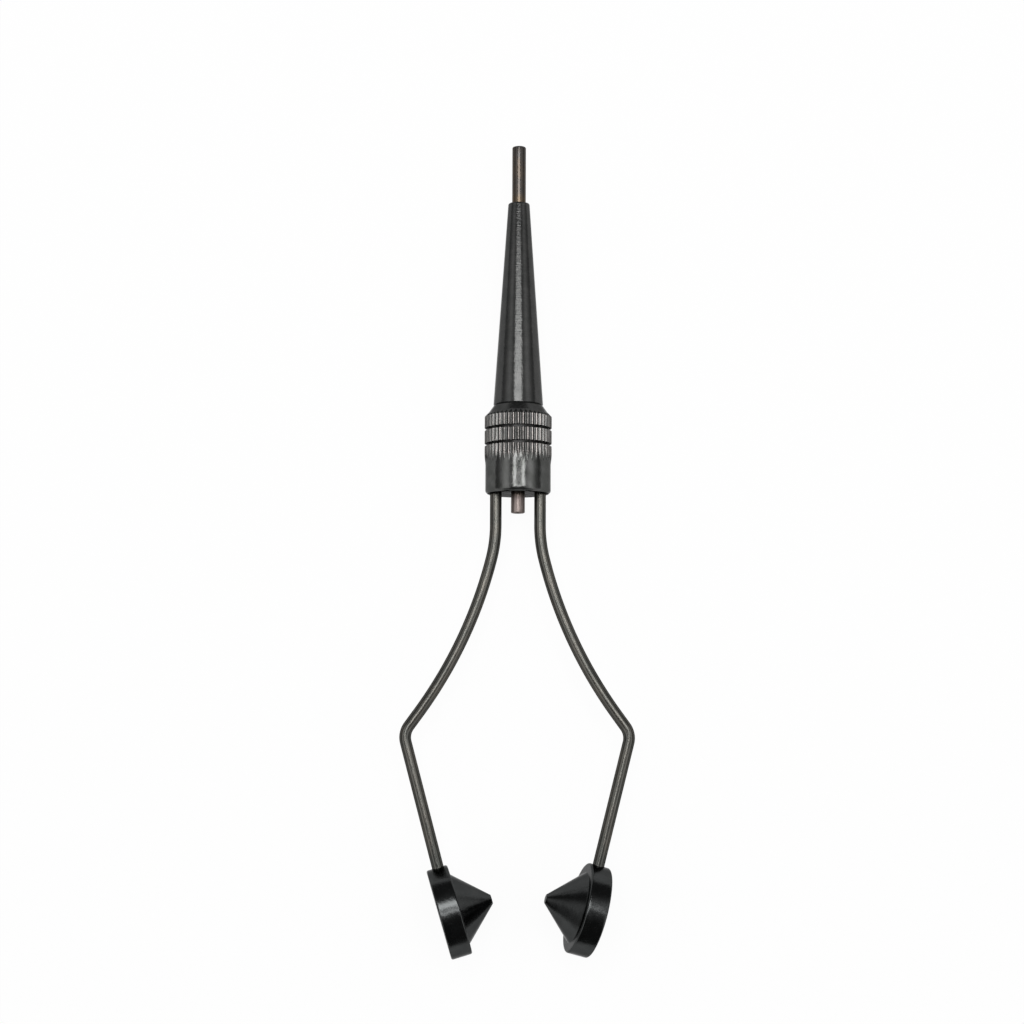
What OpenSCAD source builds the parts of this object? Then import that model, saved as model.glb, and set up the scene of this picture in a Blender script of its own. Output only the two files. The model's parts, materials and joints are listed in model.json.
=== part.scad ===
// Bobbin holder for fly tying: a spool of thread turns between two sprung feet,
// and the thread leaves through the tube at the tip.
// +Y runs along the tube towards the tip, +X across the arms, and +Z is up as it lies on a bench.
// The origin is on the tube's axis, in the plane of the base's rear face.

/* [Thread tube] */
// Outer diameter of the tube
tube_d = 1.9; // [1.7:0.05:2.4]
// Diameter of the bore that the thread runs through
tube_bore_d = 1.3; // [0.8:0.05:1.4]
// Length of tube that stands out past the handle
tube_tip_len = 8.1; // [4:0.1:30]
// Length of tube that stands out behind the base
tube_stub_len = 2.6; // [1.5:0.1:3.5]

/* [Handle] */
// Length of the tapered handle, from the base to its narrow end
handle_len = 28.5; // [20:0.5:50]
// Diameter of the handle at its narrow end
handle_tip_d = 2.96; // [2.8:0.02:4]
// Diameter of the handle where it meets the base
handle_root_d = 6.84; // [6:0.02:7.4]
// Radius of the rounded edge at the narrow end
handle_edge_r = 0.2; // [0.05:0.05:0.3]
// Diameter of the spigot that holds the handle in the base
spigot_d = 4.6; // [3.6:0.1:5.2]
// Length of that spigot
spigot_len = 4.8; // [3:0.1:5]

/* [Base] */
// Length of the base, from its rear face to the neck
base_len = 12.3; // [12:0.1:16]
// Diameter of the plain rear part
base_d = 9; // [8.6:0.1:10]
// Radius of the rounded rear edge
base_edge_r = 0.5; // [0.1:0.05:0.7]
// Diameter where the shoulder turns from its steep cone to its chamfer
shoulder_d = 8.1; // [7.6:0.1:8.5]
// Length of the shoulder's cone
shoulder_len = 0.9; // [0.6:0.1:1.6]
// Length of the chamfer between the shoulder and the knurl
chamfer_len = 0.6; // [0.4:0.05:0.9]
// Depth of the small bevels that make the groove at the neck
neck_bevel = 0.12; // [0.05:0.01:0.2]
// Depth of the bevels round the mouths of the holes for the tube and the wires
mouth_bevel = 0.1; // [0.05:0.01:0.12]

/* [Knurl] */
// Diameter over the ridges
knurl_d = 9.25; // [9.1:0.05:10.2]
// Depth of the valleys between the ridges
knurl_depth = 0.24; // [0.15:0.01:0.3]
// Number of ridges round the base
knurl_count = 43; // [24:1:60]
// Length of plain surface behind the knurl
knurl_rear = 4.3; // [4:0.1:5]
// Length over which the surface rises from the plain part to the ridges
knurl_rise = 0.6; // [0.3:0.1:1]
// Length over which the valleys run out at the rear
knurl_runout = 0.7; // [0.4:0.1:1.2]
// Width of the two grooves turned through the knurl
groove_w = 0.4; // [0.2:0.05:0.6]
// Depth of those grooves below the ridges
groove_depth = 0.42; // [0.3:0.02:0.6]
// Distance from the middle of the front groove to the knurl's front edge, and the length of the
// knurled band between the two grooves
band_len = 1.75; // [1.4:0.05:2]

/* [Arms] */
// Diameter of the spring wire
wire_d = 1.6; // [1.2:0.1:1.7]
// Distance between the two wires where they leave the base
arm_pitch = 6.07; // [5.8:0.05:6.2]
// Depth of the holes that hold the wires
arm_hole_depth = 6; // [4:0.1:6.5]
// Length of straight wire between the base and the first bend
arm_straight_len = 4.3; // [3:0.1:10]
// Radius of the first bend, where the wire starts to spread
root_bend_r = 18.8; // [10:0.1:30]
// Angle of the first bend
root_bend_angle = 14; // [8:1:20]
// Radius of the long sweep down to the elbow
sweep_r = 61; // [45:1:80]
// Angle of the long sweep
sweep_angle = 22; // [18:1:26]
// Length of straight wire just before the elbow
lead_len = 2.1; // [0.5:0.1:5]
// Radius of the elbow
elbow_r = 2.6; // [2:0.1:5]
// Angle by which the left elbow turns the wire back towards the spool
left_elbow_angle = 51; // [46:0.1:54]
// The same for the right elbow, which is bent a little less
right_elbow_angle = 50; // [46:0.1:54]
// Length of the straight left leg between its elbow and the foot's rim
left_leg_len = 17.3; // [12:0.1:24]
// The same for the right leg
right_leg_len = 16.9; // [12:0.1:24]

/* [Feet] */
// Diameter of the foot's disc
foot_d = 12.2; // [10:0.1:16]
// Thickness of the disc
foot_w = 2.9; // [2.6:0.1:4]
// Radius of the disc's rounded edges
foot_edge_r = 0.25; // [0.05:0.05:0.4]
// Diameter of the cone where it rises from the disc
cone_d = 9.6; // [6:0.1:9.8]
// Diameter of the cone's flat tip
cone_tip_d = 1.2; // [0.6:0.1:2.4]
// Height of the cone above the disc
cone_len = 4.5; // [2:0.1:5]
// Depth of the hole in the rim that takes the wire
foot_hole_depth = 7.6; // [4:0.1:9]
// Lean of each disc from its wire, towards the tool
foot_lean = 1.6; // [0:0.1:3]
// Turn of the left foot about its wire, positive with the cone up
left_twist = -4; // [-10:1:10]
// Turn of the right foot about its wire, positive with the cone up
right_twist = 9; // [-10:1:10]

/* [Fits] */
// Radial room round a glued or pressed shank, tube or spigot
seat_gap = 0.02; // [0.01:0.01:0.05]
// Room between the ball and the cup where a wire's flexing is gathered
flex_gap = 0.03; // [0.02:0.01:0.05]
// Room left at the bottom of a blind hole
hole_end_gap = 0.2; // [0.1:0.05:0.4]

/* [Hidden] */
$fn = 96;

// Overrun of every cut past the face that it opens
overrun = 1.5;
// Length that a straight run of wire laps into a bend, and how much thinner its radius is there
lap_len = 0.1;
lap_relief = 0.004;

tube_r = tube_d / 2;
tube_bore_r = tube_bore_d / 2;
tube_wall = tube_r - tube_bore_r;
handle_tip_y = base_len + handle_len;
tube_tip_y = handle_tip_y + tube_tip_len;

base_r = base_d / 2;
neck_r = handle_root_d / 2;
shoulder_r = shoulder_d / 2;
crest_r = knurl_d / 2;
valley_r = crest_r - knurl_depth;
shoulder_y = base_len - neck_bevel - shoulder_len;
chamfer_y = shoulder_y - chamfer_len;
rise_end_y = knurl_rear + knurl_rise;
valley_end_y = knurl_rear + knurl_rise / 2;
front_groove_y = chamfer_y - band_len;
rear_groove_y = front_groove_y - band_len - groove_w;
spigot_hole_depth = spigot_len + hole_end_gap;

// Share of a ridge's pitch that the flat top of the star takes
star_top_share = 0.1;
// Height of the star over the crests, and depth of its corners below the valleys, as shares of
// the valleys' depth, so that turned surfaces cut both
star_over_share = 0.25;
star_under_share = 0.4;

wire_r = wire_d / 2;
shank_in_len = arm_hole_depth - hole_end_gap;
leg_in_len = foot_hole_depth - hole_end_gap;
foot_r = foot_d / 2;

// A wire is a list of [length, turn] pieces: turn is 0 on a straight piece, and otherwise it
// is the angle of a bend, whose length is its radius. Positive turns spread the wire outwards.
shank_path = [[shank_in_len + arm_straight_len, 0], [root_bend_r, root_bend_angle]];
function elbow_angle(side) = side < 0 ? left_elbow_angle : right_elbow_angle;
function leg_len(side) = side < 0 ? left_leg_len : right_leg_len;
function elbow_path(side) = [[sweep_r, sweep_angle], [lead_len, 0], [elbow_r, -elbow_angle(side)]];
function arm_path(side) = concat(elbow_path(side), [[leg_len(side) + leg_in_len, 0]]);
// The same wire, as far as the middle of the foot
function foot_path(side) = concat(elbow_path(side), [[leg_len(side) + foot_r, 0]]);

// Places and headings along a wire, as [x, y, heading], with 0 straight back from the base
function step_end(at, piece) =
    piece[1] == 0
        ? [at[0] + piece[0] * sin(at[2]), at[1] - piece[0] * cos(at[2]), at[2]]
        : let (way = sign(piece[1]) * piece[0], to = at[2] + piece[1])
          [at[0] + way * (cos(at[2]) - cos(to)), at[1] + way * (sin(at[2]) - sin(to)), to];
function along(at, path, count) =
    count == 0 ? at : step_end(along(at, path, count - 1), path[count - 1]);

shank_start = [arm_pitch / 2, shank_in_len, 0];
flex_point = along(shank_start, shank_path, len(shank_path));
function foot_centre(side) = along(flex_point, foot_path(side), len(foot_path(side)));

module on_tool_axis() rotate([-90, 0, 0]) children();

module mirrored(side) mirror([side < 0 ? 1 : 0, 0, 0]) children();

// Tube: a plain run of tubing with both rims polished round
module thread_tube() {
    rim_r = tube_wall / 2;
    color("#5b5049")
    on_tool_axis() rotate_extrude() {
        translate([tube_bore_r, -tube_stub_len + rim_r])
            square([tube_wall, tube_tip_y + tube_stub_len - tube_wall]);
        for (end_y = [-tube_stub_len + rim_r, tube_tip_y - rim_r])
            translate([tube_bore_r + rim_r, end_y]) circle(rim_r);
    }
}

// Handle: a long cone turned from bar, with a spigot that goes into the base
module handle() {
    hole_r = tube_r + seat_gap;
    tip_r = handle_tip_d / 2;
    slope = (neck_r - tip_r) / handle_len;
    color("#2b2b2e")
    on_tool_axis() rotate_extrude() difference() {
        union() {
            polygon([
                [0, base_len],
                [neck_r - neck_bevel, base_len],
                [neck_r, base_len + neck_bevel],
                [tip_r + slope * handle_edge_r, handle_tip_y - handle_edge_r],
                [tip_r - handle_edge_r, handle_tip_y],
                [0, handle_tip_y]]);
            translate([0, base_len - spigot_len]) square([spigot_d / 2, spigot_len]);
            translate([tip_r - handle_edge_r, handle_tip_y - handle_edge_r])
                circle(handle_edge_r);
        }
        translate([0, base_len - spigot_len - overrun])
            square([hole_r, spigot_len + handle_len + 2 * overrun]);
        polygon([
            [0, handle_tip_y - hole_r - mouth_bevel],
            [hole_r + mouth_bevel + overrun, handle_tip_y + overrun],
            [0, handle_tip_y + overrun]]);
    }
}

// The turned outline of the base, before its knurl is cut
module base_outline() {
    union() {
        translate([0, base_edge_r]) square([base_r, knurl_rear - base_edge_r]);
        square([base_r - base_edge_r, knurl_rear]);
        translate([base_r - base_edge_r, base_edge_r]) circle(base_edge_r);
        polygon([
            [0, knurl_rear],
            [base_r, knurl_rear],
            [crest_r, rise_end_y],
            [crest_r, chamfer_y],
            [shoulder_r, shoulder_y],
            [neck_r, base_len - neck_bevel],
            [neck_r - neck_bevel, base_len],
            [0, base_len]]);
    }
}

// All that lies outside the valley floor, which runs out to the surface at the rear
module valley_zone() {
    polygon([
        [valley_r, valley_end_y + knurl_runout],
        [crest_r + knurl_depth, valley_end_y - knurl_runout],
        [crest_r + knurl_depth, base_len],
        [valley_r, base_len]]);
}

// The ring outside a star of straight ridges: the star stands over the crests and its corners
// reach below the valley floor, so that the turned surfaces end both
module between_ridges() {
    pitch = 360 / knurl_count;
    over_r = crest_r + knurl_depth * star_over_share;
    under_r = valley_r - knurl_depth * star_under_share;
    difference() {
        circle(crest_r + overrun);
        polygon([for (i = [0 : knurl_count - 1], corner = [0 : 2])
            let (turn = pitch * (i + [-star_top_share, star_top_share, 1][corner] / 2),
                 r = [over_r, over_r, under_r][corner])
            [r * sin(turn), r * cos(turn)]]);
    }
}

// The bevel round the mouth of a hole that opens towards -Z
module mouth(hole_r) {
    translate([0, 0, -overrun])
        cylinder(h = overrun + mouth_bevel, r1 = hole_r + mouth_bevel + overrun, r2 = hole_r);
}

// Base: knurled collar with holes for the two wires, the tube and the handle's spigot
module base() {
    color("#4b4b49")
    difference() {
        on_tool_axis() difference() {
            rotate_extrude() base_outline();
            intersection() {
                rotate_extrude() valley_zone();
                linear_extrude(base_len) between_ridges();
            }
        }
        for (groove_y = [front_groove_y, rear_groove_y])
            on_tool_axis() translate([0, 0, groove_y - groove_w / 2]) difference() {
                cylinder(h = groove_w, r = crest_r + overrun);
                cylinder(h = groove_w, r = crest_r - groove_depth);
            }
        on_tool_axis() translate([0, 0, -overrun])
            cylinder(h = base_len + 2 * overrun, r = tube_r + seat_gap);
        on_tool_axis() mouth(tube_r + seat_gap);
        on_tool_axis() translate([0, 0, base_len - spigot_hole_depth])
            cylinder(h = spigot_hole_depth + overrun, r = spigot_d / 2 + seat_gap);
        for (side = [-1, 1])
            translate([side * arm_pitch / 2, 0, 0]) on_tool_axis() {
                translate([0, 0, -overrun])
                    cylinder(h = arm_hole_depth + overrun, r = wire_r + seat_gap);
                mouth(wire_r + seat_gap);
            }
    }
}

// A round wire, drawn piece by piece: each piece starts at the origin and heads towards -Y, and
// the rest of the path is drawn from its end. A straight run laps into the bends beside it.
module wire(path, first = 0) {
    if (first < len(path)) {
        piece = path[first];
        if (piece[1] == 0) {
            translate([0, lap_len, 0]) rotate([90, 0, 0])
                cylinder(h = piece[0] + 2 * lap_len, r = wire_r - lap_relief);
            translate([0, -piece[0], 0]) wire(path, first + 1);
        } else {
            way = sign(piece[1]);
            translate([way * piece[0], 0, 0]) {
                rotate([0, 0, way > 0 ? 180 : piece[1]])
                    rotate_extrude(angle = abs(piece[1]), $fn = 180)
                        translate([piece[0], 0]) circle(wire_r, $fn = 48);
                rotate([0, 0, piece[1]]) translate([-way * piece[0], 0, 0])
                    wire(path, first + 1);
            }
        }
    }
}

module at_end(place) translate([place[0], place[1], 0]) rotate([0, 0, place[2]]) children();

// Shank: the end of an arm that the base holds, down to where the flexing is gathered
module shank(side) {
    color("#3d3d39")
    mirrored(side) difference() {
        at_end(shank_start) wire(shank_path);
        at_end(flex_point) sphere(wire_r + flex_gap);
    }
}

// Arm: the rest of the wire, with a ball in the shank's cup, down to its end in the foot
module arm(side) {
    color("#3d3d39")
    mirrored(side) at_end(flex_point) union() {
        on_tool_axis() rotate_extrude() intersection() {
            circle(wire_r);
            square(wire_r);
        }
        wire(arm_path(side));
    }
}

// Foot: a disc with a blunt cone that seats in the end of the spool. The wire's hole in its rim
// follows the leg, from which the disc leans a little.
module foot(side, twist) {
    color("#1e1e1f")
    mirrored(side) at_end(foot_centre(side)) difference() {
        rotate([0, 0, -foot_lean]) rotate([0, twist - 90, 0]) rotate_extrude() union() {
            translate([0, -foot_w / 2]) square([foot_r - foot_edge_r, foot_w]);
            translate([0, foot_edge_r - foot_w / 2]) square([foot_r, foot_w - 2 * foot_edge_r]);
            for (edge = [-1, 1])
                translate([foot_r - foot_edge_r, edge * (foot_w / 2 - foot_edge_r)])
                    circle(foot_edge_r, $fn = 32);
            polygon([
                [0, 0],
                [cone_d / 2, 0],
                [cone_d / 2, foot_w / 2],
                [cone_tip_d / 2, foot_w / 2 + cone_len],
                [0, foot_w / 2 + cone_len]]);
        }
        translate([0, foot_r - foot_hole_depth, 0]) on_tool_axis()
            cylinder(h = foot_hole_depth + overrun, r = wire_r + seat_gap);
    }
}

module left_shank() shank(-1);
module right_shank() shank(1);
module left_arm() arm(-1);
module right_arm() arm(1);
module left_foot() foot(-1, left_twist);
module right_foot() foot(1, right_twist);

thread_tube();
handle();
base();
left_shank();
right_shank();
left_arm();
right_arm();
left_foot();
right_foot();
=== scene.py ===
import json
import math

import bmesh
import bpy
import numpy as np
from mathutils import Matrix, Vector


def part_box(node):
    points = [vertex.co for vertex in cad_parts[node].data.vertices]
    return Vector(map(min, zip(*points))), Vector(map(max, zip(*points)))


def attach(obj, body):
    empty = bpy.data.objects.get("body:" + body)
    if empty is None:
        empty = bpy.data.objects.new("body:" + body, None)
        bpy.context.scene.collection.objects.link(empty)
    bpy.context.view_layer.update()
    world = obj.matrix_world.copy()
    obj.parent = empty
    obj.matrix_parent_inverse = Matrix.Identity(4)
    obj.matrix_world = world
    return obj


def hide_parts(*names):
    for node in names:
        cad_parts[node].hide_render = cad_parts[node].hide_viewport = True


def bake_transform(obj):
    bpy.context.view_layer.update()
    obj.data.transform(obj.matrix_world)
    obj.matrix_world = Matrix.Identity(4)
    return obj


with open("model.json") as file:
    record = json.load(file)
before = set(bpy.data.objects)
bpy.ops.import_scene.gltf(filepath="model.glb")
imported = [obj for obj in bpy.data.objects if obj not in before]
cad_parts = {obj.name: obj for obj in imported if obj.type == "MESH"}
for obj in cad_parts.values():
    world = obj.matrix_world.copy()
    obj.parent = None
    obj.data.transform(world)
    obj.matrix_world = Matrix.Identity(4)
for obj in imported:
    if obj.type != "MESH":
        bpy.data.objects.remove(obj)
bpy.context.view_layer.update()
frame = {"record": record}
mounts = {mount["name"]: mount for mount in frame["record"]["mounts"]}

# The thread tube is a length of thin drawn steel tubing with a dark brown-grey plating. It runs
# right through the tool. Both rims are polished round, so that they can't cut the thread.
MM = 0.001
SMOOTH_BELOW = math.radians(38)
WELD_DISTANCE = 1e-8
tube_columns = 96
tube_step = 1.0
rim_share = 0.98
rubbed_y, plated_y = -0.8, 0.5
stained_y, clean_y = 41.2, 42.6


def unit(vectors):
    """Each vector divided by its own length; a vector of no length stays as it is."""
    return vectors / np.maximum(np.linalg.norm(vectors, axis=-1, keepdims=True), 1e-12)


def filleted(corners, steps):
    """Points of an outline whose corners (across, along, fillet) are each cut by a round arc.

    With u and v the directions from a corner to its neighbours and h half the angle between
    them, the arc's centre lies fillet / sin(h) from the corner, on the line midway between u and
    v, and the arc touches both sides fillet / tan(h) from the corner.
    """
    table = np.array(corners, float)
    corner, fillet = table[:, :2], table[:, 2:]
    u = unit(np.roll(corner, 1, 0) - corner)
    v = unit(np.roll(corner, -1, 0) - corner)
    half = np.arccos(np.clip((u * v).sum(1, keepdims=True), -1, 1)) / 2
    half = np.maximum(half, 1e-6)
    centre = (corner + unit(u + v) * fillet / np.sin(half))[:, None]
    start = (corner + u * fillet / np.tan(half))[:, None]
    end = (corner + v * fillet / np.tan(half))[:, None]
    share = np.linspace(0, 1, steps)[None, :, None]
    arc = centre + fillet[:, None] * unit(start * (1 - share) + end * share - centre)
    points = arc.reshape(-1, 2)
    return points[np.linalg.norm(points - np.roll(points, 1, 0), axis=1) > 1e-7]


def divided(outline, step):
    """The outline with points added along its sides, so that none are further apart than step."""
    ahead = np.roll(outline, -1, 0)
    counts = np.ceil(np.linalg.norm(ahead - outline, axis=1) / step).astype(int)
    share = np.arange(counts.sum()) - np.repeat(np.cumsum(counts) - counts, counts)
    share = (share / np.repeat(counts, counts))[:, None]
    return np.repeat(outline, counts, 0) * (1 - share) + np.repeat(ahead, counts, 0) * share


def skin(name, grid, along=None, ring=True):
    """A closed mesh over a grid of points in millimetres, rows by columns.

    A face joins each point to the next in its row, and both to those in the row after. Columns
    always join up. Rows join up too where ring is true, and otherwise the first and last rows
    have shrunk to points. The UV map holds the share round the piece and each row's value in
    along, which is its distance along the piece in millimetres, or else the row's number.
    """
    rows, columns = grid.shape[:2]
    bands = rows if ring else rows - 1
    row, column = (index.reshape(-1, 1) for index in np.mgrid[0:bands, 0:columns])
    row = row + np.array([0, 0, 1, 1])
    column = column + np.array([0, 1, 1, 0])
    mesh = bpy.data.meshes.new(name)
    faces = (row % rows) * columns + column % columns
    mesh.from_pydata(grid.reshape(-1, 3) * MM, [], faces)
    along = np.arange(rows) if along is None else along
    uv = np.stack([column / columns, np.append(along, along[-1])[row]], -1)
    mesh.uv_layers.new(name="surface").data.foreach_set("uv", uv.astype(np.float32).ravel())
    work = bmesh.new()
    work.from_mesh(mesh)
    bmesh.ops.remove_doubles(work, verts=work.verts, dist=WELD_DISTANCE)
    bmesh.ops.recalc_face_normals(work, faces=work.faces)
    work.to_mesh(mesh)
    work.free()
    piece = bpy.data.objects.new(name, mesh)
    bpy.context.scene.collection.objects.link(piece)
    mesh.shade_smooth()
    mesh.set_sharp_from_angle(angle=SMOOTH_BELOW)
    return piece


def turned(radius, along, columns):
    """Grid of a turned piece: each row is a circle round the tool's axis.

    At an angle a the point lies radius times (sin a, cos a) from the axis, at its row's height. A
    radius may be one for the row or one for each angle.
    """
    angle = np.arange(columns) * 2 * math.pi / columns
    radius = np.broadcast_to(radius.reshape(len(along), -1), (len(along), columns))
    height = np.broadcast_to(along[:, None], radius.shape)
    return np.stack([radius * np.sin(angle), height, radius * np.cos(angle)], -1)


class Reading:
    """A value in a material. An expression on readings adds the Math nodes that work it out."""

    def __init__(self, finish, socket):
        self.finish, self.socket = finish, socket

    def maths(self, operation, *others):
        values = dict(enumerate((self, *others)))
        return self.finish.add("Math", {"operation": operation}, values)

    def __add__(self, other):
        return self.maths("ADD", other)

    __radd__ = __add__

    def __mul__(self, other):
        return self.maths("MULTIPLY", other)

    __rmul__ = __mul__

    def __sub__(self, other):
        return self.maths("SUBTRACT", other)

    def __rsub__(self, other):
        return self * -1 + other

    def __pow__(self, other):
        return self.maths("POWER", other)

    def rise(self, low, high):
        """0 below low and 1 above high, with a smooth rise between them."""
        return self.finish.add(
            "MapRange",
            {"interpolation_type": "SMOOTHSTEP"},
            {"Value": self, "From Min": low, "From Max": high},
        )


class Recipe:
    """Nodes for a material or for the sky, which start from a place or a direction."""

    def __init__(self, tree, scale):
        self.tree = tree
        here = self.add("TexCoord", output="Object")
        self.place = self.add("VectorMath", {"operation": "SCALE"}, {0: here, "Scale": scale})
        self.x, self.y, self.z = (
            self.add("SeparateXYZ", {}, {0: self.place}, output) for output in range(3)
        )

    def feed(self, node, values):
        """Each named socket of a node takes a reading or a plain value."""
        for socket, value in values.items():
            if isinstance(value, Reading):
                self.tree.links.new(value.socket, node.inputs[socket])
            else:
                node.inputs[socket].default_value = value

    def add(self, kind, settings=None, values=None, output=0):
        """Any node: its settings are set first, then its sockets, and one output is read."""
        node = self.tree.nodes.new("ShaderNode" + kind)
        for setting, value in (settings or {}).items():
            setattr(node, setting, value)
        self.feed(node, values or {})
        return Reading(self, node.outputs[output])

    def vector(self, x, y, z):
        return self.add("CombineXYZ", {}, {0: x, 1: y, 2: z})

    def noise(self, place, scale, detail=2.0, roughness=0.5):
        """Smooth noise from 0 to 1, with scale waves to a unit of the place."""
        return self.add(
            "TexNoise",
            {},
            {"Vector": place, "Scale": scale, "Detail": detail, "Roughness": roughness},
        )

    def blend(self, share, low, high):
        """The colour low where share is 0, and high where it is 1."""
        return self.add("Mix", {"data_type": "RGBA"}, {0: share, 6: low, 7: high}, 2)


class Finish(Recipe):
    """A material. Its place on the piece, in millimetres, is read as x, y and z."""

    def __init__(self, name, constants):
        self.material = bpy.data.materials.new(name)
        self.material.use_nodes = True
        super().__init__(self.material.node_tree, 1 / MM)
        self.shader = self.tree.nodes["Principled BSDF"]
        self.feed(self.shader, constants)
        self.radius = (self.x * self.x + self.z * self.z) ** 0.5

    def relief(self, height):
        """A normal for a height in millimetres."""
        return self.add("Bump", {}, {"Distance": MM, "Height": height})

    def look(self, values):
        self.feed(self.shader, values)
        return self.material


def grey(level):
    """A grey of that linear level."""
    return (level, level, level, 1)


def tube_plating():
    """Dark plating with fine drawn lines, stained brown by the handle, rubbed pinkish behind."""
    plating = Finish("tube_plating", {"Specular Tint": grey(0.45)})
    around = plating.vector(plating.x * 2, plating.y * 0.1, plating.z * 2)
    lines = plating.noise(around, 2.0, 4, 0.6)
    patches = plating.noise(plating.place, 0.7, 3, 0.6)
    fine = plating.noise(plating.place, 4.0, 3)
    rear = 1 - plating.y.rise(rubbed_y, plated_y)
    stained = 1 - plating.y.rise(stained_y, clean_y)
    patches = patches.rise(0.35, 0.65)
    dark = plating.blend(patches, (0.054, 0.051, 0.049, 1), (0.072, 0.059, 0.048, 1))
    dark = plating.blend(stained * 0.8, dark, (0.085, 0.064, 0.043, 1))
    rubbed = plating.blend(lines.rise(0.3, 0.7), (0.11, 0.089, 0.082, 1), (0.26, 0.217, 0.203, 1))
    return plating.look({
        "Base Color": plating.blend(rear, dark, rubbed),
        "Metallic": 0.85 - 0.2 * rear,
        "Roughness": 0.17 + 0.1 * fine + 0.15 * rear,
        "Normal": plating.relief(lines * 0.01 + fine * 0.003),
    })


bore_r = mounts["thread_bore"]["dims"]["r_mm"]
tube_low, tube_high = (np.array(corner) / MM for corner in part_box("thread_tube"))
tube_r = tube_high[0]
rim_r = rim_share * (tube_r - bore_r) / 2
tube_section = divided(filleted([
    (bore_r, tube_low[1], rim_r),
    (tube_r, tube_low[1], rim_r),
    (tube_r, tube_high[1], rim_r),
    (bore_r, tube_high[1], rim_r),
], 9), tube_step)
tube = skin("tube", turned(tube_section[:, 0], tube_section[:, 1], tube_columns))
tube.data.materials.append(tube_plating())
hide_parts("thread_tube")
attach(tube, "stem")

# The handle is a long cone turned from aluminium bar and anodised black. The tool's feed has left
# a fine thread of turning marks on it, and its spigot is held in the base.
base_len = 12.3
spigot_r = 2.3
spigot_len = 4.8
spigot_edge_r = 0.3
tip_r = 1.48
tip_edge_r = 0.2
neck_r = 3.42
neck_bevel = 0.12
seat_gap = 0.02
edge_break = 0.02
bore_edge_r = 0.05
mouth_w = 0.05
mouth_depth = 0.1
handle_columns = 96
mark_pitch = 0.34
mark_depth = 0.002
unmarked_end = 0.3


def black_anodising():
    """Satin black, with fine turning marks of uneven depth and a fine pitted grain."""
    black = Finish("black_anodising", {"Metallic": 0.7, "Specular Tint": grey(0.45)})
    sway = black.noise(black.place, 0.5, 2)
    fine = black.noise(black.vector(black.x, black.y * 3 + sway, black.z), 2.0, 2)
    grain = black.noise(black.place, 2.6, 2, 0.6)
    cloud = black.noise(black.place, 0.6, 3, 0.7)
    colour = black.blend(cloud.rise(0.3, 0.7), (0.042, 0.043, 0.042, 1), (0.055, 0.055, 0.054, 1))
    return black.look({
        "Base Color": colour,
        "Roughness": 0.13 + 0.08 * grain,
        "Normal": black.relief(fine * 0.007 + grain * 0.015),
    })


def feed_marks(y):
    """Depth of the turning marks: rows are the heights y, and columns go once round.

    The cutter moves on by one pitch in a turn, so with s the height over the pitch plus the share
    of a turn, the depth is mark_depth times (1 - cos(2 pi s)) / 2.
    """
    turns = y[:, None] / mark_pitch + np.arange(handle_columns) / handle_columns
    return mark_depth * (0.5 - 0.5 * np.cos(2 * math.pi * turns))


handle_tip_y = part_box("handle")[1].y / MM
hole_r = tube_r + seat_gap
handle_section = filleted([
    (hole_r, base_len - spigot_len, bore_edge_r),
    (spigot_r, base_len - spigot_len, spigot_edge_r),
    (spigot_r, base_len, 0),
    (neck_r - neck_bevel, base_len, 0),
    (neck_r, base_len + neck_bevel, edge_break),
    (tip_r, handle_tip_y, tip_edge_r),
    (hole_r + mouth_w, handle_tip_y, edge_break),
    (hole_r, handle_tip_y - mouth_depth, edge_break),
], 7)
handle_r, handle_y = divided(handle_section, mark_pitch / 6).T
inside_ends = (handle_y >= base_len + unmarked_end) & (handle_y <= handle_tip_y - unmarked_end)
marked = inside_ends & (handle_r > hole_r + mouth_w)
marked_r = handle_r[:, None] - feed_marks(handle_y) * marked[:, None]
handle = skin("taper", turned(marked_r, handle_y, handle_columns))
handle.data.materials.append(black_anodising())
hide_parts("handle")
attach(handle, "stem")

# The base is a collar turned from bar, knurled straight, cut by two grooves and plated gunmetal.
# Handling has worn the plating off the ridges. Its holes take the tube, the spigot and both wires.
base_r = 4.5
base_edge_r = 0.5
crest_r = 4.625
ridge_depth = 0.24
ridge_count = 43
ridge_columns = 14
ridge_sharpness = 1.2
knurl_rear = 3.9
rise_end = 5.5
rise_step = 0.12
runout = 2.4
groove_w = 0.4
groove_depth = 0.42
band_len = 1.75
chamfer_y = 10.68
shoulder_r = 4.05
shoulder_y = 11.28
shoulder_edge_r = 0.1
groove_edge_r = 0.05
rear_bevel = 0.15
neck_edge_r = 0.03
spigot_room = 0.2
spigot_room_r = 0.1
base_step = 0.45
arm_pitch = 6.07
arm_hole_depth = 6.0
wire_r = 0.8
overrun = 1
drill_columns = 64
front_groove_y = chamfer_y - band_len
rear_groove_y = front_groove_y - band_len - groove_w
groove_r = crest_r - groove_depth


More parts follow.
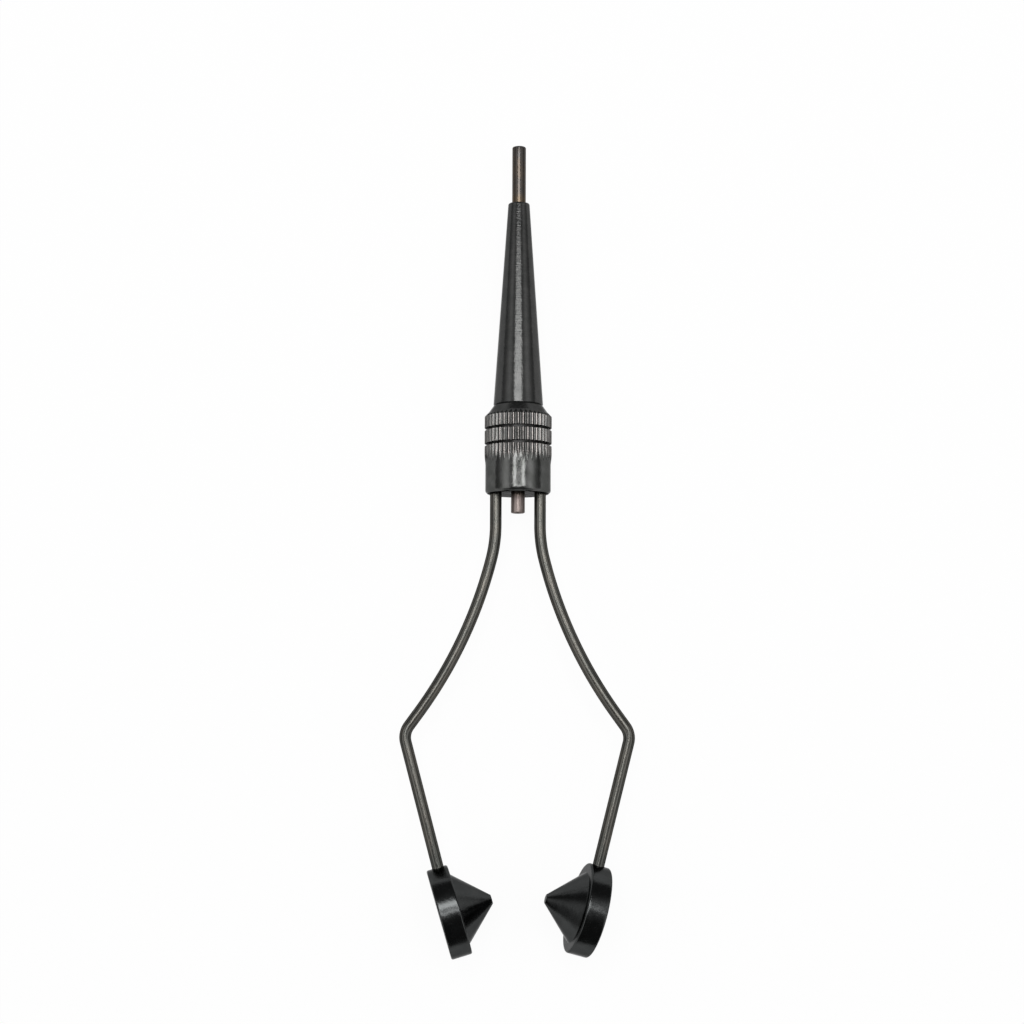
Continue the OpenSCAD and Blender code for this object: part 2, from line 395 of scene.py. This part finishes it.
def gunmetal(name, edges, gloss):
    """Dark plating, rubbed pale along the ridges, with painted shade: darkened towards black in the
    grooves and the knurl's valleys, and half way to black on the chamfer and shoulder.

    The value edges says how brightly it reflects at a glancing angle, and gloss how much of it
    is bare shine rather than dull film.
    """
    metal = Finish(name, {"Specular Tint": grey(edges)})
    cloud = metal.noise(metal.place, 0.7, 4, 0.6)
    fine = metal.noise(metal.place, 3.0, 4, 0.6)
    streak = metal.noise(metal.vector(metal.x * 2, metal.y * 0.3, metal.z * 2), 1.5, 3)
    ridge = metal.radius.rise(crest_r - 0.08, crest_r - 0.01)
    ridge = ridge * metal.y.rise(knurl_rear + 0.4, rise_end)
    behind_chamfer = metal.y.maths("LESS_THAN", chamfer_y)
    knurled = metal.y.rise(knurl_rear + 0.6, rise_end) * behind_chamfer
    worn = (0.1 * knurled + 0.9 * ridge * behind_chamfer) * streak.rise(0.25, 0.6)
    # Painted shade: cut is 1 on the grooves' floors and valley is 1 in the knurl's valleys. There the
    # colour is darkened towards black and made fully metallic, in place of the shade that falls in
    # them.
    cut = 1 - metal.radius.rise(groove_r + 0.05, crest_r - ridge_depth)
    cut = cut * metal.y.rise(knurl_rear, rise_end) * behind_chamfer
    valley = knurled * (1 - metal.radius.rise(crest_r - ridge_depth, crest_r - 0.05))
    plain = metal.blend(cloud.rise(0.35, 0.65), (0.064, 0.066, 0.063, 1), (0.09, 0.091, 0.089, 1))
    rubbed = metal.blend(worn, plain, (0.27, 0.248, 0.238, 1))
    # Painted shade on the chamfer and shoulder: from the chamfer forward the colour is darkened half
    # way to black.
    with_chamfer_shade = metal.blend(metal.y.rise(chamfer_y, chamfer_y + 0.15) * 0.5, rubbed, grey(0.01))
    return metal.look({
        "Base Color": metal.blend(cut.maths("MAXIMUM", valley * 0.35) * 0.9, with_chamfer_shade, grey(0.008)),
        "Metallic": gloss + (1 - gloss) * cut,
        "Roughness": 0.1 + 0.1 * cloud + 0.13 * knurled,
        "Normal": metal.relief((cloud * 0.021 + fine * 0.014) * (1 - 0.93 * knurled)),
    })


def ease(value, low, high):
    """0 below low and 1 above high, with the smooth rise 3 s^2 - 2 s^3 between them."""
    share = np.clip((value - low) / (high - low), 0, 1)
    return (3 - 2 * share) * share ** 2


def crest_line(y):
    """Radius of the ridges' tops, which ease up from the plain part's radius to the knurl's."""
    return base_r + (crest_r - base_r) * ease(y, knurl_rear, rise_end)


def with_ridges(radius, y):
    """Radii of the base with its ridges: rows are the heights y, and columns go once round.

    Across a ridge the crest is (1 + cos(ridge_count times the angle)) / 2, raised to the power of
    ridge_sharpness. The valleys are ridge_depth times 1 - crest deep, and ease out at the rear.
    The surface is the lower of the turned outline and the crest line less the valleys.
    """
    angle = np.arange(ridge_count * ridge_columns) * 2 * math.pi / (ridge_count * ridge_columns)
    crest = (0.5 + 0.5 * np.cos(angle * ridge_count)) ** ridge_sharpness
    valley = ridge_depth * np.minimum(1 - crest, ease(y, knurl_rear, knurl_rear + runout))
    return np.minimum(radius, crest_line(y) - valley)


spigot_hole_y = base_len - spigot_len - spigot_room
base_corners = [
    (hole_r, rear_bevel, edge_break),
    (hole_r + rear_bevel, 0, edge_break),
    (base_r, 0, base_edge_r),
]
rise_y = np.arange(knurl_rear, rear_groove_y - groove_w, rise_step)
base_corners += [(crest_line(y), y, 0) for y in rise_y]
for groove_y in (rear_groove_y, front_groove_y):
    base_corners += [
        (crest_r, groove_y - groove_w / 2, groove_edge_r),
        (groove_r, groove_y - groove_w / 2, groove_edge_r),
        (groove_r, groove_y + groove_w / 2, groove_edge_r),
        (crest_r, groove_y + groove_w / 2, groove_edge_r),
    ]
base_corners += [
    (crest_r, chamfer_y, shoulder_edge_r),
    (shoulder_r, shoulder_y, shoulder_edge_r),
    (neck_r, base_len - neck_bevel, neck_edge_r),
    (neck_r - neck_bevel, base_len, edge_break),
    (spigot_r + seat_gap, base_len, edge_break),
    (spigot_r + seat_gap, spigot_hole_y, spigot_room_r),
    (hole_r, spigot_hole_y, edge_break),
]
base_section = divided(filleted(base_corners, 4), base_step)
collar_r = with_ridges(base_section[:, :1], base_section[:, 1:])
collar = skin("collar", turned(collar_r, base_section[:, 1], ridge_count * ridge_columns))


def drill(piece, mouth, way, depth, radius, bevel):
    """Drills a round hole in a piece from its mouth, with a bevelled edge. Sizes in millimetres.

    The drill's profile is a cylinder of that depth with a cone of 45 degrees at the mouth, which
    starts overrun outside it.
    """
    outline = np.array([
        (0, -overrun),
        (radius + bevel + overrun, -overrun),
        (radius, bevel),
        (radius, depth),
        (0, depth),
    ], float)
    grid = turned(outline[:, 0], outline[:, 1], drill_columns)
    turn = Vector((0, 1, 0)).rotation_difference(Vector(way)).to_matrix()
    bit = skin(piece.name + "_bit", grid @ np.array(turn).T + np.array(mouth), ring=False)
    cut = piece.modifiers.new("hole", "BOOLEAN")
    cut.operation, cut.object, cut.solver = "DIFFERENCE", bit, "EXACT"
    cutting = bpy.context.evaluated_depsgraph_get()
    mesh = bpy.data.meshes.new_from_object(piece.evaluated_get(cutting))
    piece.modifiers.clear()
    piece.data = mesh
    bpy.data.objects.remove(bit)
    mesh.set_sharp_from_angle(angle=SMOOTH_BELOW)


arm_holes = [(side * arm_pitch / 2, 0, 0) for side in (-1, 1)]
for mouth in arm_holes:
    drill(collar, mouth, (0, 1, 0), arm_hole_depth, wire_r + seat_gap, rear_bevel)
collar.data.materials.clear()
collar.data.materials.append(gunmetal("gunmetal", 0.42, 0.82))
# Painted shade: a second, darker copy of the gunmetal for the rear face.
collar.data.materials.append(gunmetal("shaded_rear_gunmetal", 0.0, 1.0))
# The turned rear face, whose normals point along -Y, gets a shaded copy of the gunmetal
# with no dull film and no glancing reflection: painted shade that keeps the face dark.
rear_facing = -0.95
face_ways = np.empty(len(collar.data.polygons) * 3, np.float32)
collar.data.polygons.foreach_get("normal", face_ways)
rear_faces = face_ways[1::3] < rear_facing
collar.data.polygons.foreach_set("material_index", rear_faces.astype(np.int32))
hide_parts("base")
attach(collar, "stem")

# Each arm is one length of hard-drawn spring wire, bent cold on a former and plated as the base is.
# Its ends are fixed in the base and in the foot, and the whole wire flexes when a spool goes in.
# A bend is a straight length, then a radius and the angle turned on it, outwards where positive.
root_bends = [(10.1, 0, 0), (0, 18.8, 14), (0, 61, 22), (2.1, 0, 0)]
leg_bends = {"left": [(0, 2.6, -51), (24.7, 0, 0)], "right": [(0, 2.6, -50), (24.3, 0, 0)]}
wire_step = 0.2
wire_columns = 40
wire_end_r = 0.3
wire_end_gap = 0.2


def wire_plating():
    """Dark plating on drawn wire: long lines along it, brown tints and a few paler rubs."""
    plating = Finish("wire_plating", {"Metallic": 0.92, "Specular Tint": grey(0.25)})
    surface = plating.add("UVMap", {"uv_map": "surface"})
    around, along = (plating.add("SeparateXYZ", {}, {0: surface}, output) for output in range(2))
    turn = around * 2 * math.pi
    ring_x, ring_z = (turn.maths(wave) for wave in ("SINE", "COSINE"))
    lines = plating.noise(plating.vector(ring_x, along * 0.05, ring_z), 2.5, 4, 0.6)
    rubs = plating.noise(plating.vector(ring_x, along * 0.3, ring_z), 1.0, 4, 0.65)
    fine = plating.noise(plating.place, 4.0, 3)
    tint = plating.blend(rubs.rise(0.35, 0.7), (0.062, 0.063, 0.058, 1), (0.09, 0.084, 0.074, 1))
    colour = plating.blend(lines.rise(0.45, 0.8) * 0.35, tint, (0.15, 0.148, 0.137, 1))
    return plating.look({
        "Base Color": colour,
        "Roughness": 0.17 + 0.1 * rubs + 0.05 * fine,
        "Normal": plating.relief(lines * 0.006 + rubs * 0.012 + fine * 0.003),
    })


def wire_path(bends, step):
    """Centreline and headings of a wire, from pieces (straight length, bend radius, angle).

    The heading grows evenly along each bend and is steady along each straight, so it is read off
    a broken line, and the centreline is the sum of short steps along the heading.
    """
    lengths = [straight + radius * math.radians(abs(angle)) for straight, radius, angle in bends]
    stations = np.cumsum([0] + lengths)
    headings = np.cumsum([0] + [math.radians(angle) for _, _, angle in bends])
    along = np.linspace(0, stations[-1], round(stations[-1] / step))
    heading = np.interp(along, stations, headings)
    way = np.stack([np.sin(heading), -np.cos(heading)], -1)
    steps = (way[1:] + way[:-1]) / 2 * np.diff(along)[:, None]
    return along, heading, np.vstack([[0, 0], np.cumsum(steps, 0)])


def bent_wire(name, bends, side):
    """A round wire along its path, on the side -1 or 1, with domed ends.

    Each circle lies across the heading: a point at an angle a is radius cos a to the side and
    radius sin a up from the centreline. Over the last wire_end_r the radius is wire_r times
    sqrt(1 - (1 - s) ** 2), with s the share of wire_end_r that is left to the end.
    """
    along, heading, line = wire_path(bends, wire_step)
    line = line + [arm_pitch / 2, arm_hole_depth - wire_end_gap]
    turn = np.arange(wire_columns) * 2 * math.pi / wire_columns
    share = np.minimum(np.minimum(along, along[-1] - along) / wire_end_r, 1)
    radius = wire_r * np.sqrt(np.clip(1 - (1 - share) ** 2, 0, 1))
    out = radius[:, None] * np.cos(turn)
    grid = np.stack([
        side * (line[:, :1] + out * np.cos(heading)[:, None]),
        line[:, 1:] + out * np.sin(heading)[:, None],
        radius[:, None] * np.sin(turn),
    ], -1)
    return skin(name, grid, along, ring=False)


plating = wire_plating()
for side, word in ((-1, "left"), (1, "right")):
    wire = bent_wire(word + "_wire", root_bends + leg_bends[word], side)
    wire.data.materials.append(plating)
    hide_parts(word + "_shank", word + "_arm")
    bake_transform(wire)

# Each foot is a disc with a blunt cone that seats in the end of a spool, moulded in satin black
# plastic. Its rim has a blind hole for the end of the wire, which is pushed in.
foot_r = 6.1
foot_w = 2.9
foot_edge_r = 0.25
cone_r = 4.8
cone_tip_r = 0.6
cone_len = 4.5
cone_root_r = 0.1
cone_end_r = 0.12
foot_step = 0.3
foot_columns = 128
foot_hole_depth = 7.6
foot_hole_bevel = 0.1


def black_plastic():
    """Satin black plastic with a cloudy haze and a few dull scuffs.

    It has no colour of its own, so all of it is the metal's kind of gloss, at a plastic's 4 or 5
    parts in 100, because there a tint can keep the edges as dark as worn plastic has them.
    """
    plastic = Finish("black_plastic", {"Metallic": 1.0, "Specular Tint": grey(0.5)})
    haze = plastic.noise(plastic.place, 0.6, 3, 0.6)
    grain = plastic.noise(plastic.place, 7.0, 3)
    scuffs = plastic.noise(plastic.vector(plastic.x, plastic.y * 2, plastic.z), 1.6, 4, 0.7)
    colour = plastic.blend(haze.rise(0.3, 0.7), (0.043, 0.045, 0.045, 1), (0.053, 0.055, 0.055, 1))
    return plastic.look({
        "Base Color": colour,
        "Roughness": 0.17 + 0.08 * haze + 0.12 * scuffs.rise(0.55, 0.75),
        "Normal": plastic.relief(grain * 0.002 + haze * 0.03),
    })


plastic = black_plastic()
for side, word in ((-1, "left"), (1, "right")):
    mount = mounts[word + "_spool_cone"]
    centre = np.array(mount["pos_m"]) / MM
    axis = Vector(mount["axis"]).normalized()
    outline = [
        (0, -foot_w / 2, 0),
        (foot_r, -foot_w / 2, foot_edge_r),
        (foot_r, foot_w / 2, foot_edge_r),
        (cone_r, foot_w / 2, cone_root_r),
        (cone_tip_r, foot_w / 2 + cone_len, cone_end_r),
        (0, foot_w / 2 + cone_len, 0),
    ]
    section = divided(filleted(outline, 7), foot_step)
    last = np.argmin(np.hypot(section[:, 0], section[:, 1] - foot_w / 2 - cone_len))
    section = section[:last + 1]
    turn = np.array(Vector((0, 1, 0)).rotation_difference(axis).to_matrix())
    grid = turned(section[:, 0], section[:, 1], foot_columns) @ turn.T + centre
    foot = skin(word + "_spool_foot", grid, ring=False)
    leg_heading = math.radians(sum(bend[2] for bend in root_bends + leg_bends[word]))
    outward = np.array([-side * math.sin(leg_heading), math.cos(leg_heading), 0])
    mouth = centre + outward * foot_r
    drill(foot, mouth, -outward, foot_hole_depth, wire_r + seat_gap, foot_hole_bevel)
    foot.data.materials.clear()
    foot.data.materials.append(plastic)
    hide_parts(word + "_foot")
    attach(foot, word + "_side")

# The tool lies on a plain pale floor, on the rims of its feet and the front edge of the knurl. The
# floor keeps the tool's soft shadow, and shows white to the camera and in the metal.
floor_half = 3.0
floor_white = 0.8
floor_glow = 0.95
floor_gap = 0.05 * MM
foot_low = min(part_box(word + "_foot")[0].z for word in ("left", "right")) - floor_gap
foot_y = mounts["left_spool_cone"]["pos_m"][1]
floor_slope = (-crest_r * MM - foot_low) / (chamfer_y * MM - foot_y)
corners = np.array([(-1, -1), (1, -1), (1, 1), (-1, 1)]) * floor_half
floor_z = foot_low + floor_slope * (corners[:, 1] - foot_y)
floor_mesh = bpy.data.meshes.new("floor")
floor_mesh.from_pydata(np.column_stack([corners, floor_z]), [], [(0, 1, 2, 3)])
floor = bpy.data.objects.new("floor", floor_mesh)
bpy.context.scene.collection.objects.link(floor)
paint = Finish("floor_paint", {"Base Color": grey(floor_white), "Roughness": 0.9})
seen = paint.add("LightPath", output="Is Camera Ray")
mirrored = paint.add("LightPath", output="Is Glossy Ray")
through = paint.add("LightPath", output="Is Transmission Ray")
glow = paint.add("Emission", {}, {"Color": grey(1.0), "Strength": 1.0})
shown = (seen + mirrored + through).maths("MINIMUM", 1.0) * floor_glow
lit = Reading(paint, paint.shader.outputs[0])
both = paint.add("MixShader", {}, {0: shown, 1: lit, 2: glow})
paint.tree.links.new(both.socket, paint.tree.nodes["Material Output"].inputs["Surface"])
floor_mesh.materials.append(paint.material)

# Four soft lamps hang in one plane: a wide one beyond the handle, one above the arms and a strip to
# each side. They give the bright lines along the metal, and the sky's two pale sides give the broad
# sheens beside these. Near the horizon the sky is as white as the floor, so the floor has no edge.
lamp_height = 0.5
sky_level = 0.06
side_level = 1.9
far_level = 0.04


def lamp(name, place, size, radiance):
    """A flat lamp of that width and length that faces the tool, with the given brightness."""
    light = bpy.data.lights.new(name, "AREA")
    light.shape, light.size, light.size_y = "RECTANGLE", size[0], size[1]
    light.energy = radiance * math.pi * size[0] * size[1]
    lamp_object = bpy.data.objects.new(name, light)
    away = Vector(place).normalized()
    across = Vector((0, 1, 0)).cross(away).normalized()
    turn = Matrix((across, away.cross(across), away)).transposed().to_4x4()
    lamp_object.matrix_world = Matrix.Translation(place) @ turn
    bpy.context.scene.collection.objects.link(lamp_object)


lamp("far_lamp", (-0.01, 0.16, lamp_height), (0.33, 0.12), 8.8)
lamp("near_lamp", (0.028, -0.002, lamp_height), (0.195, 0.07), 5.5)
lamp("left_strip", (-0.105, 0.0225, lamp_height), (0.07, 0.155), 9)
lamp("right_strip", (0.165, 0.0575, lamp_height), (0.085, 0.125), 9)

world = bpy.data.worlds.new("studio")
bpy.context.scene.world = world
world.use_nodes = True
sky = Recipe(world.node_tree, 1)
across = sky.x.maths("ABSOLUTE")
# Each side is palest about 42 degrees from straight up, and fades out ahead and behind.
sides = across.rise(0.35, 0.66) * (1 - across.rise(0.68, 0.99))
sides = sides * (1 - sky.y.rise(0.15, 0.6)) * (1 - (sky.y * -1).rise(0.3, 0.85))
brightness = sky_level + side_level * sides + far_level * sky.y.rise(0.3, 0.9)
seen, mirrored, through = (
    sky.add("LightPath", output="Is %s Ray" % kind) for kind in ("Camera", "Glossy", "Transmission")
)
shown = (seen + mirrored + through).maths("MINIMUM", 1.0) * (1 - sky.z.rise(0.03, 0.08))
brightness = brightness + shown * (floor_glow - brightness)
sky.feed(world.node_tree.nodes["Background"], {"Color": grey(1.0), "Strength": brightness})

# The camera looks down at the tool, tilted a little so that the tip lies further away. Its distance
# and its focal length give the photograph's perspective and framing.
aim = Vector((-0.81, -2.445, 0)) * MM
view_distance = 260.6 * MM
view_tilt = math.radians(6.2)
view_roll = math.radians(0.22)
picture_px = 1024
focal_px = 1900
camera = bpy.data.cameras.new("camera")
camera.lens = camera.sensor_width * focal_px / picture_px
camera.clip_start, camera.clip_end = 0.01, 20
eye = bpy.data.objects.new("camera", camera)
turn = Matrix.Rotation(view_tilt, 4, "X") @ Matrix.Rotation(view_roll, 4, "Z")
eye.matrix_world = Matrix.Translation(aim) @ turn @ Matrix.Translation((0, 0, view_distance))
bpy.context.scene.collection.objects.link(eye)
bpy.context.scene.camera = eye
bpy.context.scene.view_settings.view_transform = "Standard"
